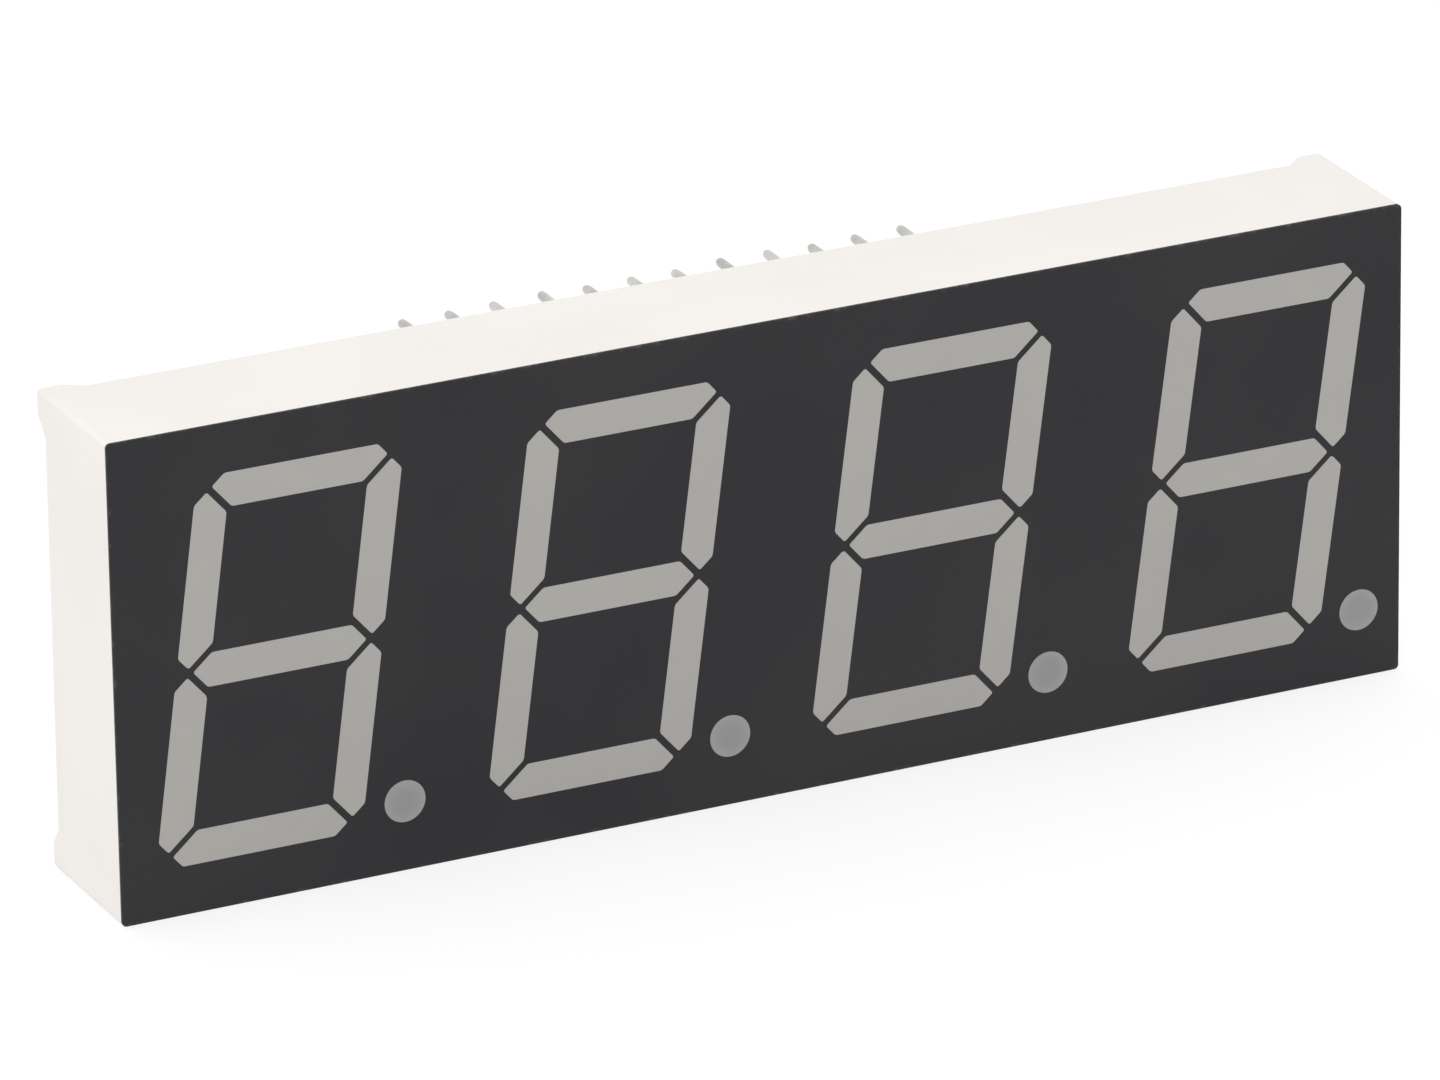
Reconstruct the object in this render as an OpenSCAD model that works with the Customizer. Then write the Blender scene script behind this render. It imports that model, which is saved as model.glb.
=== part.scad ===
// Four-digit seven-segment LED display, standing on its bottom wall.
// X runs along the row of digits, -Y is the front, +Z is up.
// The origin is at the bottom centre of the whole part, pins included.

/* [Digits] */
// Height of a digit over its outer edges
digit_h = 20.4; // [12:0.1:26]
// Width of a digit over its outer edges, measured before it is slanted
digit_w = 11.17; // [8:0.01:16]
// Space between one digit and the next
digit_gap = 6.83; // [5:0.01:12]
// Slant of the digits, in degrees
slant = 8; // [0:0.5:12]
// Thickness of a segment bar
bar_t = 1.81; // [1:0.01:2.4]
// Rib left between two neighbouring segments
segment_gap = 0.35; // [0.2:0.01:0.7]
// Length cut off each outer corner of a digit, along both edges
corner_cut = 1.46; // [0.6:0.01:1.8]
// Depth of the notch between the upper and lower side bars
side_notch = 0.85; // [0.3:0.01:0.9]
// Diameter of the decimal point
point_d = 2.24; // [1.2:0.01:3]
// Space between a digit's slanted edge and its decimal point
point_gap = 1.11; // [0.6:0.01:2]

/* [Housing] */
// Face left beside the first and last digits
side_margin = 3.315; // [3:0.005:8]
// Face left above and below the digits
top_margin = 2.6; // [2.4:0.05:8]
// Depth of the moulded body, without its feet
body_d = 7.65; // [6:0.05:12]
// Thickness of the wall around the back pocket
wall_t = 1; // [0.6:0.05:1.4]
// Radius of the body's four long corner edges
corner_r = 0.25; // [0.1:0.05:0.8]
// Size of a light well's floor against its mouth
well_taper = 0.55; // [0.5:0.01:0.9]
// Skin left in front of the cored-out pockets
skin_t = 1.2; // [0.8:0.05:2]
// Rib left between a cored-out pocket and the light wells
core_rib = 1; // [0.6:0.05:1.4]

/* [Feet] */
// How far the corner feet stand out behind the body
foot_h = 0.85; // [0.3:0.05:2]
// Radius of a foot at its tip
foot_tip_r = 1.25; // [0.8:0.05:2]
// Radius of a foot where it meets the body
foot_base_r = 2.4; // [2.1:0.05:3.5]

/* [Face film] */
// Thickness of the dark face film
film_t = 0.15; // [0.1:0.01:0.4]

/* [Board and potting] */
// Thickness of the circuit board
board_t = 1.6; // [0.8:0.1:2]
// Space between the board's edge and the wall around it
board_clear = 0.2; // [0.1:0.05:0.4]
// Thickness of the potting behind the board
potting_t = 1.15; // [0.9:0.05:2]
// How far the potting stops below the body's rear rim
rim_lip = 0.1; // [0.05:0.05:0.6]

/* [Pins] */
// Distance from one pin to the next
pin_pitch = 2.54; // [2.5:0.01:2.8]
// Diameter of a pin's free length
pin_d = 0.5; // [0.3:0.01:0.7]
// How much wider a pin's square root is than its free length
pin_root_extra = 0.1; // [0.05:0.01:0.2]
// Distance of the pins below the top edge
pin_drop = 2; // [2:0.05:4]
// Distance from the face to the tips of the pins
pin_reach = 13.45; // [12:0.05:25]
// Length of the point at a pin's tip
pin_point = 0.35; // [0.1:0.05:0.8]
// Length of a pin's head in front of the board
pin_head_l = 0.6; // [0.3:0.05:0.9]
// Space around a pin in its hole in the board
hole_clear = 0.1; // [0.05:0.01:0.2]
// Width of a solder cone's ring around the pin
solder_ring = 0.45; // [0.3:0.05:0.6]
// Height of a solder cone
solder_h = 0.65; // [0.3:0.05:0.8]
// Space around the pin heads in the housing's groove
head_clear = 0.25; // [0.1:0.05:0.4]

/* [Chips and wires] */
// Side of an LED chip
chip_w = 0.3; // [0.2:0.01:0.4]
// Height of an LED chip
chip_h = 0.25; // [0.15:0.01:0.35]
// Diameter of a bond wire
wire_d = 0.04; // [0.03:0.005:0.06]
// Distance from a chip to the far end of its bond wire
wire_span = 0.4; // [0.3:0.01:0.45]

/* [Hidden] */
digit_count = 4;
pin_count = 12;
letters = ["a", "b", "c", "d", "e", "f", "g"];
digit_ids = [1 : digit_count];
pin_ids = [1 : pin_count];

// Colours
housing_white = "#f4f1ed";
film_grey = "#3a3a3c";
resin_grey = "#aaa8a5";
point_grey = "#939292";
board_tan = "#c9b98a";
potting_grey = "#b9b7b2";
tin = "#c8c8c6";
solder_grey = "#b4b6b8";
chip_amber = "#c8a040";
gold = "#d8b050";

// Share of the ring's width that a solder cone keeps at its top
solder_top_share = 0.2;
// Share of its radius that a pin keeps at its tip
pin_tip_share = 0.5;

// Smoothness of the round shapes
round_fn = 64;
wire_fn = 24;

// Outline of the body, which the digits and their margins set
digit_pitch = digit_w + digit_gap;
body_w = (digit_count - 1) * digit_pitch + digit_w + 2 * side_margin;
body_h = digit_h + 2 * top_margin;
digit_z = body_h / 2;

// Places along Y, from the face backwards
face_y = -pin_reach / 2;
front_y = face_y + film_t;
rim_y = front_y + body_d;
feet_y = rim_y + foot_h;
potting_y = rim_y - rim_lip;
board_back_y = potting_y - potting_t;
board_y = board_back_y - board_t;
tips_y = face_y + pin_reach;
well_d = board_y - front_y;

// Half sizes of one digit, and the 45-degree lines that trim its bars
half_w = digit_w / 2;
half_h = digit_h / 2;
inner_x = half_w - bar_t;
inner_z = half_h - bar_t;
half_bar = bar_t / 2;
gap_step = segment_gap / sqrt(2);
corner_line = half_w + half_h - corner_cut;
mitre_line = half_w - half_h;
flat_tip_x = half_w - half_bar;
side_end_line = flat_tip_x + 2 * gap_step;
notch_line = half_w - side_notch;

// Centre of the decimal point, seen from its digit's centre
point_r = point_d / 2;
point_z = point_r - half_h;
point_x = half_w + tan(slant) * point_z + point_gap + point_r;

// Pins, their holes and the solder
pin_r = pin_d / 2;
root_w = pin_d + pin_root_extra;
root_r = root_w / 2;
root_corner_r = root_r * sqrt(2);
hole_r = root_corner_r + hole_clear;
pin_z = body_h - pin_drop;
solder_r = root_r + solder_ring;
solder_top_r = root_corner_r + solder_ring * solder_top_share;
groove_r = root_r + head_clear;
groove_d = pin_head_l + head_clear;

function window_name(i, s) = str("digit_", i, "_segment_", s);
function point_name(i) = str("digit_", i, "_point");
function chips_name(i) = str("led_chips_digit_", i);
function wires_name(i) = str("bond_wires_digit_", i);
function pin_name(n) = str("pin_", n);

function digit_x(i) = (i - (digit_count + 1) / 2) * digit_pitch;
function pin_x(n) = (n - (pin_count + 1) / 2) * pin_pitch;

// Leans a point of an upright digit over by the slant
function lean(p) = [p.x + tan(slant) * p.y, p.y];
function reversed(list) = [for (k = [len(list) - 1 : -1 : 0]) list[k]];
function mirror_x(list) = reversed([for (p = list) [-p.x, p.y]]);
function mirror_z(list) = reversed([for (p = list) [p.x, -p.y]]);
function centre(list) = [for (p = list) 1] * list / len(list);
// Where the lines x + z = sum and x - z = difference cross
function crossing(sum, difference) = [(sum + difference) / 2, (sum - difference) / 2];

// Right end of the top bar, from its inner corner round to its outer corner
top_line = mitre_line - gap_step;
top_end = [
    [inner_z + top_line, inner_z],
    crossing(corner_line, top_line),
    [corner_line - half_h, half_h]
];
top_bar = concat(top_end, mirror_x(top_end));

// Upper right bar, from its inner lower corner
side_line = mitre_line + gap_step;
side_bar = [
    [inner_x, side_end_line - inner_x],
    crossing(side_end_line, notch_line),
    [half_w, half_w - notch_line],
    [half_w, corner_line - half_w],
    crossing(corner_line, side_line),
    [inner_x, inner_x - side_line]
];

// Right end of the middle bar
middle_end = [
    [flat_tip_x - half_bar, -half_bar],
    [flat_tip_x, 0],
    [flat_tip_x - half_bar, half_bar]
];
middle_bar = concat(middle_end, mirror_x(middle_end));

// Outline of each segment before the slant, in the order of the letters
upright_outlines = [
    top_bar,
    side_bar,
    mirror_z(side_bar),
    mirror_z(top_bar),
    mirror_z(mirror_x(side_bar)),
    mirror_x(side_bar),
    middle_bar
];
outlines = [for (list = upright_outlines) [for (p = list) lean(p)]];
chip_spots = [for (list = outlines) centre(list)];
point_spot = [point_x, point_z];

// Puts a digit's own plane, drawn in X and Y, upright at digit i, with its height towards -Y
module on_digit(i, y) {
    translate([digit_x(i), y, digit_z])
        rotate([90, 0, 0])
            children();
}

// An upright slab from front y to back y, from a drawing in X and Z
module slab(y0, y1) {
    translate([0, y1, 0])
        rotate([90, 0, 0])
            linear_extrude(y1 - y0)
                children();
}

// A shape along +Y, from one drawn along +Z
module backwards(x, y, z) {
    translate([x, y, z])
        rotate([-90, 0, 0])
            children();
}

// A length of a pin's square root, standing along +Z
module root_post(h) {
    translate([-root_r, -root_r, 0])
        cube([root_w, root_w, h]);
}

// The body's front outline with its rounded corners, drawn in by inset
module body_outline(inset = 0) {
    r = max(corner_r - inset, 0);
    w = body_w - 2 * inset;
    h = body_h - 2 * inset;
    translate([-w / 2, inset]) {
        translate([r, 0])
            square([w - 2 * r, h]);
        translate([0, r])
            square([w, h - 2 * r]);
        if (r > 0)
            for (x = [r, w - r], z = [r, h - r])
                translate([x, z])
                    circle(r, $fn = round_fn);
    }
}

// Solid of a light well: straight through the film, then tapered towards its chip
module well(outline, spot) {
    floor_ring = [for (p = outline) spot + well_taper * (p - spot)];
    n = len(outline);
    points = concat(
        [for (p = floor_ring) [p.x, p.y, 0]],
        [for (p = outline) [p.x, p.y, well_d]],
        [for (p = outline) [p.x, p.y, well_d + film_t]]
    );
    faces = concat(
        [[for (k = [0 : n - 1]) k]],
        [[for (k = [0 : n - 1]) 3 * n - 1 - k]],
        [for (ring = [0, n], k = [0 : n - 1])
            [ring + k, ring + n + k, ring + n + (k + 1) % n, ring + (k + 1) % n]]
    );
    polyhedron(points, faces, convexity = 2);
}

// Solid of the decimal point's light well
module point_well() {
    translate(point_spot)
        rotate_extrude($fn = round_fn)
            polygon([
                [0, 0],
                [point_r * well_taper, 0],
                [point_r, well_d],
                [point_r, well_d + film_t],
                [0, well_d + film_t]
            ]);
}

// One LED chip, standing on the board
module chip(spot) {
    translate([spot.x - chip_w / 2, spot.y - chip_w / 2, 0])
        cube([chip_w, chip_w, chip_h]);
}

// One bond wire: an arch from the chip's top, and a leg down to the board.
// It runs along the bar that the chip lights, turned by an angle.
module bond_wire(spot, turn) {
    translate(spot)
        rotate([0, 0, turn])
            union() {
                translate([wire_span / 2, 0, chip_h])
                    rotate([90, 0, 0])
                        rotate_extrude(angle = 180, $fn = wire_fn)
                            translate([wire_span / 2, 0])
                                circle(d = wire_d, $fn = wire_fn);
                translate([wire_span, 0, 0])
                    cylinder(d = wire_d, h = chip_h, $fn = wire_fn);
            }
}

// Turn of the bond wire in a segment: along X in a flat bar, along the slant in a side bar
function wire_turn(s) = (s == 0 || s == 3 || s == 6) ? 0 : 90 - slant;

// White moulding: body, feet, light wells, cored-out pockets, board pocket and pin groove
module reflector_housing() {
    color(housing_white)
        difference() {
            union() {
                slab(front_y, rim_y)
                    body_outline();
                feet();
            }
            for (i = digit_ids) {
                on_digit(i, board_y)
                    for (s = [0 : len(letters) - 1])
                        well(outlines[s], chip_spots[s]);
                on_digit(i, board_y)
                    point_well();
                slab(front_y + skin_t, board_y)
                    translate([digit_x(i), digit_z])
                        digit_cores();
            }
            slab(front_y + skin_t, board_y)
                for (i = [1 : digit_count - 1])
                    translate([digit_x(i) + digit_pitch / 2, digit_z])
                        between_core();
            slab(board_y, feet_y)
                body_outline(wall_t);
            pin_groove();
        }
}

// The four corner feet, quarter cones flush with the outer walls
module feet() {
    intersection() {
        for (x = [-body_w / 2, body_w / 2], z = [0, body_h])
            backwards(x, rim_y, z)
                cylinder(h = foot_h, r1 = foot_base_r, r2 = foot_tip_r, $fn = round_fn);
        slab(rim_y, feet_y)
            body_outline();
    }
}

// The pockets inside a digit's upper and lower loops, which keep the walls thin
module digit_cores() {
    low = half_bar + core_rib;
    high = inner_z - core_rib;
    side = inner_x - core_rib;
    for (z = [[low, high], [-high, -low]])
        polygon([
            lean([-side, z[0]]),
            lean([side, z[0]]),
            lean([side, z[1]]),
            lean([-side, z[1]])
        ]);
}

// The pocket between two digits, clear of the decimal point
module between_core() {
    side = digit_gap / 2 - core_rib;
    low = point_z + point_r + core_rib;
    polygon([
        lean([-side, low]),
        lean([side, low]),
        lean([side, inner_z]),
        lean([-side, inner_z])
    ]);
}

// The square-ended groove that clears the pin heads in front of the board
module pin_groove() {
    slab(board_y - groove_d, board_y)
        translate([pin_x(1) - groove_r, pin_z - groove_r])
            square([pin_x(pin_count) - pin_x(1) + 2 * groove_r, 2 * groove_r]);
}

// Dark film on the face, open at each segment and point
module face_film() {
    color(film_grey)
        slab(face_y, front_y)
            difference() {
                body_outline();
                for (i = digit_ids)
                    translate([digit_x(i), digit_z]) {
                        for (list = outlines)
                            polygon(list);
                        translate(point_spot)
                            circle(point_r, $fn = round_fn);
                    }
            }
}

// Board behind the light wells, with a hole for each pin
module circuit_board() {
    color(board_tan)
        difference() {
            slab(board_y, board_back_y)
                body_outline(wall_t + board_clear);
            for (n = pin_ids)
                backwards(pin_x(n), board_y, pin_z)
                    cylinder(r = hole_r, h = board_t, $fn = round_fn);
        }
}

// Potting over the back of the board and round its edge
module rear_resin() {
    color(potting_grey)
        difference() {
            slab(board_y, potting_y)
                body_outline(wall_t);
            slab(board_y, board_back_y)
                body_outline(wall_t + board_clear);
            for (n = pin_ids)
                backwards(pin_x(n), board_back_y, pin_z) {
                    root_post(potting_t);
                    cylinder(r1 = solder_r, r2 = solder_top_r, h = solder_h, $fn = round_fn);
                }
        }
}

// Solder cones round the pins, on the back of the board
module solder_joints() {
    color(solder_grey)
        for (n = pin_ids)
            backwards(pin_x(n), board_back_y, pin_z)
                difference() {
                    cylinder(r1 = solder_r, r2 = solder_top_r, h = solder_h, $fn = round_fn);
                    root_post(solder_h);
                }
}

// Resin window of segment s in digit i, cast round its chip and wire
module segment_window(i, s) {
    color(resin_grey)
        on_digit(i, board_y)
            difference() {
                well(outlines[s], chip_spots[s]);
                chip(chip_spots[s]);
                bond_wire(chip_spots[s], wire_turn(s));
            }
}

// Resin window of the decimal point in digit i
module point_window(i) {
    color(point_grey)
        on_digit(i, board_y)
            difference() {
                point_well();
                chip(point_spot);
                bond_wire(point_spot, 0);
            }
}

// All the chips of digit i
module led_chips(i) {
    color(chip_amber)
        on_digit(i, board_y)
            for (spot = concat(chip_spots, [point_spot]))
                chip(spot);
}

// All the bond wires of digit i
module bond_wires(i) {
    color(gold)
        on_digit(i, board_y) {
            for (s = [0 : len(letters) - 1])
                bond_wire(chip_spots[s], wire_turn(s));
            bond_wire(point_spot, 0);
        }
}

// One terminal pin: square root with its head, round free length and pointed tip
module pin(n) {
    color(tin)
        union() {
            backwards(pin_x(n), board_y - pin_head_l, pin_z)
                root_post(pin_head_l + potting_y - board_y);
            backwards(pin_x(n), 0, pin_z)
                rotate_extrude($fn = round_fn)
                    polygon([
                        [0, board_y],
                        [pin_r, board_y],
                        [pin_r, tips_y - pin_point],
                        [pin_r * pin_tip_share, tips_y],
                        [0, tips_y]
                    ]);
        }
}

reflector_housing();
face_film();
circuit_board();
rear_resin();
solder_joints();
for (i = digit_ids, s = [0 : len(letters) - 1])
    segment_window(i, s);
for (i = digit_ids)
    point_window(i);
for (i = digit_ids)
    led_chips(i);
for (i = digit_ids)
    bond_wires(i);
for (n = pin_ids)
    pin(n);
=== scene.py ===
import math
import random

import bmesh
import bpy
from bpy.props import FloatProperty, FloatVectorProperty, IntProperty, PointerProperty
from mathutils import Matrix, Vector


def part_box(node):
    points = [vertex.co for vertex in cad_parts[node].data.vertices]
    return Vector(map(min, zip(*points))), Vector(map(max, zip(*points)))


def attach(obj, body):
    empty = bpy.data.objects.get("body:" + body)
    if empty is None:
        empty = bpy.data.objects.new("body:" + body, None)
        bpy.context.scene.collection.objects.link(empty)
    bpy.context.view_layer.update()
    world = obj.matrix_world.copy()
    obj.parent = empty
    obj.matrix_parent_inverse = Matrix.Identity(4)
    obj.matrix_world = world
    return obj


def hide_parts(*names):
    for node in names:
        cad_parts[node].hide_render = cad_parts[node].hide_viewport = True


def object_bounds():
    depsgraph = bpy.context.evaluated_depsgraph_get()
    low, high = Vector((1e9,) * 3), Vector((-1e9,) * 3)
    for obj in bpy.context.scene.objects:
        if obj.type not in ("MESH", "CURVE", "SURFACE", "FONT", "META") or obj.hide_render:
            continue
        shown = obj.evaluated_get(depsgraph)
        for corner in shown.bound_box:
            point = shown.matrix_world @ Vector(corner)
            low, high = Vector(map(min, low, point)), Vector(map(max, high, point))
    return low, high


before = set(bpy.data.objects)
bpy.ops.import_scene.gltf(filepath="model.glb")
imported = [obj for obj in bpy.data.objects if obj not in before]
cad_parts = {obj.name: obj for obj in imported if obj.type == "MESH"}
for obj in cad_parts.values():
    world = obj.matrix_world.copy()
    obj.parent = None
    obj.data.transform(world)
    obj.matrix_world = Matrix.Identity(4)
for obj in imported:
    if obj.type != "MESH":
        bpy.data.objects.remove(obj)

bl_info = {
    "name": "Seven-Segment LED Display",
    "version": (1, 0, 0),
    "blender": (4, 2, 0),
    "location": "View3D > Sidebar > LED Display",
    "description": "Finishes a four-digit LED display and sets it on a pale stage",
    "category": "Object",
}

CAD_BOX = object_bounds()
MM = 0.001
DIGITS = range(1, 5)
LETTERS = "abcdefg"
PIN_NUMBERS = range(1, 13)

# Two places this close count as one, in metres. The wider distance allows for rounding.
SAME_PLACE = 1e-7
NEAR_PLACE = 1e-6
# A face is square to Y when the Y of its normal is more than this
SQUARE_ON = 0.999
# An uneven place, so that hardly any two parts of a mesh are equally far from it
SORTING_PLACE = Vector((-12.3, 7.7, 19.1)) * MM

# A round pin's sides, a multiple of four because they meet a square root
WIRE_SIDES = 24
# Rings along a pin's free length
FREE_RINGS = 9
# Length of a pin's point, and its rings: how far along it each lies, and its share of the pin's width
POINT_LENGTH = 0.35 * MM
POINT_RINGS = ((0.6, 0.95), (0.88, 0.84), (1.0, 0.66))


# --- Sizes read from the frame -------------------------------------------------------------

BODY_LOW, BODY_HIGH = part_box("reflector_housing")
RESIN_LOW, RESIN_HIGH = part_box("rear_resin")
PIN_BOXES = [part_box(f"pin_{n}") for n in PIN_NUMBERS]
FEET_Y = BODY_HIGH.y
BODY_CENTRE_Z = (BODY_LOW.z + BODY_HIGH.z) / 2
BODY_HALF_X = (BODY_HIGH.x - BODY_LOW.x) / 2
BODY_HALF_Z = (BODY_HIGH.z - BODY_LOW.z) / 2


def rim_plane():
    """The depth of the body's rear rim: its rearmost flat faces, apart from the feet's tips."""
    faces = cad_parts["reflector_housing"].data.polygons
    depths = [face.center.y for face in faces if face.normal.y > SQUARE_ON]
    return max(depth for depth in depths if depth < FEET_Y - NEAR_PLACE)


RIM_Y = rim_plane()


def pin_radius():
    """The radius of a pin's free length, measured in its rear half, clear of the wider root."""
    low, high = PIN_BOXES[0]
    axis_x = (low.x + high.x) / 2
    clear_y = (RESIN_HIGH.y + high.y) / 2
    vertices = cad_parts["pin_1"].data.vertices
    return max(abs(v.co.x - axis_x) for v in vertices if v.co.y > clear_y)


PIN_FREE_R = pin_radius()


# --- Settings ------------------------------------------------------------------------------

def length(name, description, millimetres):
    """A length setting, whose default is given in millimetres."""
    return FloatProperty(name=name, description=description, default=millimetres * MM,
                         min=0, subtype="DISTANCE", unit="LENGTH", precision=5)


def share(name, description, value):
    """A setting from 0 to 1."""
    return FloatProperty(name=name, description=description, default=value, min=0, max=1,
                         subtype="FACTOR")


def linear(*channels):
    """The linear values of a colour given as written, with channels from 0 to 255."""
    shares = [channel / 255 for channel in channels]
    return [c / 12.92 if c <= 0.04045 else ((c + 0.055) / 1.055) ** 2.4 for c in shares]


def colour(name, description, *channels):
    """A colour setting, given by the channels that a colour picker shows."""
    return FloatVectorProperty(name=name, description=description, default=linear(*channels),
                               size=3, min=0, max=1, subtype="COLOR")


class HousingSettings(bpy.types.PropertyGroup):
    white: colour("White", "Colour of the moulded housing", 243, 239, 235)
    shade: colour("Shade", "Slightly deeper tone of the cloudy patches in the moulding", 240, 236, 231)
    gloss: share("Roughness", "How much the moulded surface scatters a reflection", 0.48)
    edge: length("Edge radius", "Rounding of the rear rim and of the feet", 0.1)


class FaceSettings(bpy.types.PropertyGroup):
    film: colour("Film", "Colour of the dark face film", 39, 39, 42)
    # Worn edge: partly rubbed wear, partly a painted highlight where the rounded edge catches light
    worn_and_highlight: colour("Worn edge", "Colour where the film is rubbed at its rim", 76, 75, 74)
    gloss: share("Roughness", "How much the film scatters a reflection", 0.55)
    wear_and_highlight_width: length("Wear width", "How far in from its rim the film is rubbed", 0.22)


class WindowSettings(bpy.types.PropertyGroup):
    segment: colour("Segment", "Colour of the milky resin in the segments", 171, 168, 166)
    segment_warm: colour("Segment tint", "Warmer tone of the resin's cloudy patches", 172, 170, 165)
    point: colour("Point", "Colour of the resin at the middle of a decimal point", 145, 144, 144)
    # Point rim: painted light, the lighter resin where light bounced off the white cup's wall is painted in
    point_painted_rim_light: colour("Point rim", "Colour of the resin at the rim of a decimal point", 154, 154, 154)
    corner: length("Corner", "How far a segment's corners are rounded along its sides", 0.11)
    gloss: share("Roughness", "How much the resin scatters a reflection", 0.4)


class RearSettings(bpy.types.PropertyGroup):
    resin: colour("Resin", "Colour of the resin cast over the board", 207, 205, 197)
    deep: colour("Resin depth", "Colour where the board shows through the resin", 199, 196, 185)
    track: colour("Track", "Colour where a copper track shows through the resin", 190, 179, 148)
    depth: share("Clearness", "How clearly the tracks show through the resin", 0.45)
    climb: length("Climb", "How far the resin's edge climbs the wall around it", 0.08)
    spread: length("Spread", "Width of the band in which the resin's edge climbs", 0.9)
    collar: length("Collar", "How far the resin climbs a pin", 0.26)


class PinSettings(bpy.types.PropertyGroup):
    tin: colour("Tin", "Colour of the pins' tin plating", 208, 208, 205)
    dull: colour("Dull tin", "Colour of the plating's dull patches", 188, 187, 183)
    lean: length("Lean", "How far a pin's tip may stand off true, sideways and up or down", 0.1)
    seed: IntProperty(name="Seed", description="Which of the possible rows of leaning pins this is",
                      default=4)


class StageSettings(bpy.types.PropertyGroup):
    azimuth: FloatProperty(name="Azimuth", description="Turn of the camera around the display",
                           default=math.radians(-25.576), subtype="ANGLE")
    elevation: FloatProperty(name="Elevation", description="Height of the camera above the horizon",
                             default=math.radians(21.844), subtype="ANGLE")
    roll: FloatProperty(name="Roll", description="Turn of the camera about its own line of sight",
                        default=math.radians(0.861), subtype="ANGLE")
    distance: FloatProperty(name="Distance", description="From the camera to the point it aims at",
                            default=0.62317, subtype="DISTANCE", unit="LENGTH")
    aim: FloatVectorProperty(name="Aim", description="The point that the camera aims at", size=3,
                             default=(-2.165 * MM, -5.256 * MM, 13.774 * MM), subtype="TRANSLATION",
                             unit="LENGTH")
    lens: FloatProperty(name="Lens", description="Focal length in millimetres", default=310.55, min=1)
    sky: FloatProperty(name="Sky", description="Strength of the even light from all round",
                       default=0.9, min=0)
    key: FloatProperty(name="Key", description="Power of the soft lamp above the left shoulder",
                       default=1.5, min=0, subtype="POWER", unit="POWER")


# --- Working by hand, in code --------------------------------------------------------------

def only(*objects):
    """Leaves edit mode, deselects everything, then selects these objects and works on the first."""
    if bpy.context.mode != "OBJECT":
        bpy.ops.object.mode_set(mode="OBJECT")
    bpy.ops.object.select_all(action="DESELECT")
    for obj in objects:
        obj.select_set(True)
    bpy.context.view_layer.objects.active = objects[0]


def edit(obj):
    """Opens one object in edit mode with nothing selected."""
    only(obj)
    bpy.ops.object.mode_set(mode="EDIT")
    bpy.ops.mesh.select_all(action="DESELECT")


def pick(obj, kind, test):
    """In edit mode, selects just the vertices, edges or faces that pass the test."""
    bpy.ops.mesh.select_mode(type=kind)
    bpy.ops.mesh.select_all(action="DESELECT")
    mesh = bmesh.from_edit_mesh(obj.data)
    mesh.normal_update()
    parts = {"VERT": mesh.verts, "EDGE": mesh.edges, "FACE": mesh.faces}[kind]
    chosen = [part for part in parts if test(part)]
    for part in chosen:
        part.select_set(True)
    mesh.select_flush_mode()
    bmesh.update_edit_mesh(obj.data)
    if not chosen:
        raise RuntimeError(f"nothing to select on {obj.name}")


def place(obj):
    """Moves an object's place, turn and size into its mesh, so that the object sits at the origin."""
    only(obj)
    bpy.ops.object.transform_apply(location=True, rotation=True, scale=True)


def smooth(obj, degrees):
    """Shades smoothly over every edge flatter than the angle."""
    only(obj)
    bpy.ops.object.shade_smooth_by_angle(angle=math.radians(degrees))


def level_flats(obj):
    """Keeps the large flat faces evenly shaded where a small rounding runs into them."""
    only(obj)
    bpy.ops.object.modifier_add(type="WEIGHTED_NORMAL")
    modifier = obj.modifiers[-1]
    modifier.weight = 100
    modifier.keep_sharp = True
    bpy.ops.object.modifier_apply(modifier=modifier.name)


def new_copy(obj, name):
    """Another object with its own copy of the mesh."""
    copy = bpy.data.objects.new(name, obj.data.copy())
    bpy.context.scene.collection.objects.link(copy)
    return copy


def merged_copy(node, name):
    """A copy of a CAD node's mesh with its loose triangles sewn together and its flat faces whole."""
    copy = new_copy(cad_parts[node], name)
    edit(copy)
    bpy.ops.mesh.select_all(action="SELECT")
    bpy.ops.mesh.customdata_custom_splitnormals_clear()
    bpy.ops.mesh.remove_doubles(threshold=SAME_PLACE)
    bpy.ops.mesh.dissolve_limited(angle_limit=math.radians(0.4))
    bpy.ops.object.mode_set(mode="OBJECT")
    return copy


def in_order(obj):
    """Sorts a mesh's parts by place, because the extrude and bridge tools leave them in any order."""
    edit(obj)
    bpy.ops.mesh.select_all(action="SELECT")
    bpy.context.scene.cursor.location = SORTING_PLACE
    bpy.ops.mesh.sort_elements(type="CURSOR_DISTANCE", elements={"VERT", "EDGE", "FACE"})
    bpy.context.scene.cursor.location = (0, 0, 0)
    bpy.ops.object.mode_set(mode="OBJECT")


def combine(obj, operation, tools):
    """Adds the tools' solids to an object or cuts them out of it, and removes the tools."""
    only(*tools)
    if len(tools) > 1:
        bpy.ops.object.join()
    tool = bpy.context.object
    in_order(tool)
    in_order(obj)
    only(obj)
    bpy.ops.object.modifier_add(type="BOOLEAN")
    modifier = obj.modifiers[-1]
    modifier.operation = operation
    modifier.solver = "EXACT"
    modifier.object = tool
    bpy.ops.object.modifier_apply(modifier=modifier.name)
    bpy.data.objects.remove(tool)
    if not obj.data.polygons:
        raise RuntimeError(f"nothing is left of {obj.name}")


def raise_face(rise, share_kept, centre):
    """In edit mode, extrudes the selected face rearward and narrows it about the centre's axis."""
    bpy.ops.mesh.extrude_region_move(TRANSFORM_OT_translate={"value": (0, rise, 0)})
    bpy.ops.transform.resize(value=(share_kept, 1, share_kept), center_override=centre)


def close(obj):
    """Turns every face of the object in edit mode outward and leaves edit mode."""
    bpy.ops.mesh.select_all(action="SELECT")
    bpy.ops.mesh.normals_make_consistent(inside=False)
    bpy.ops.object.mode_set(mode="OBJECT")


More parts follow.
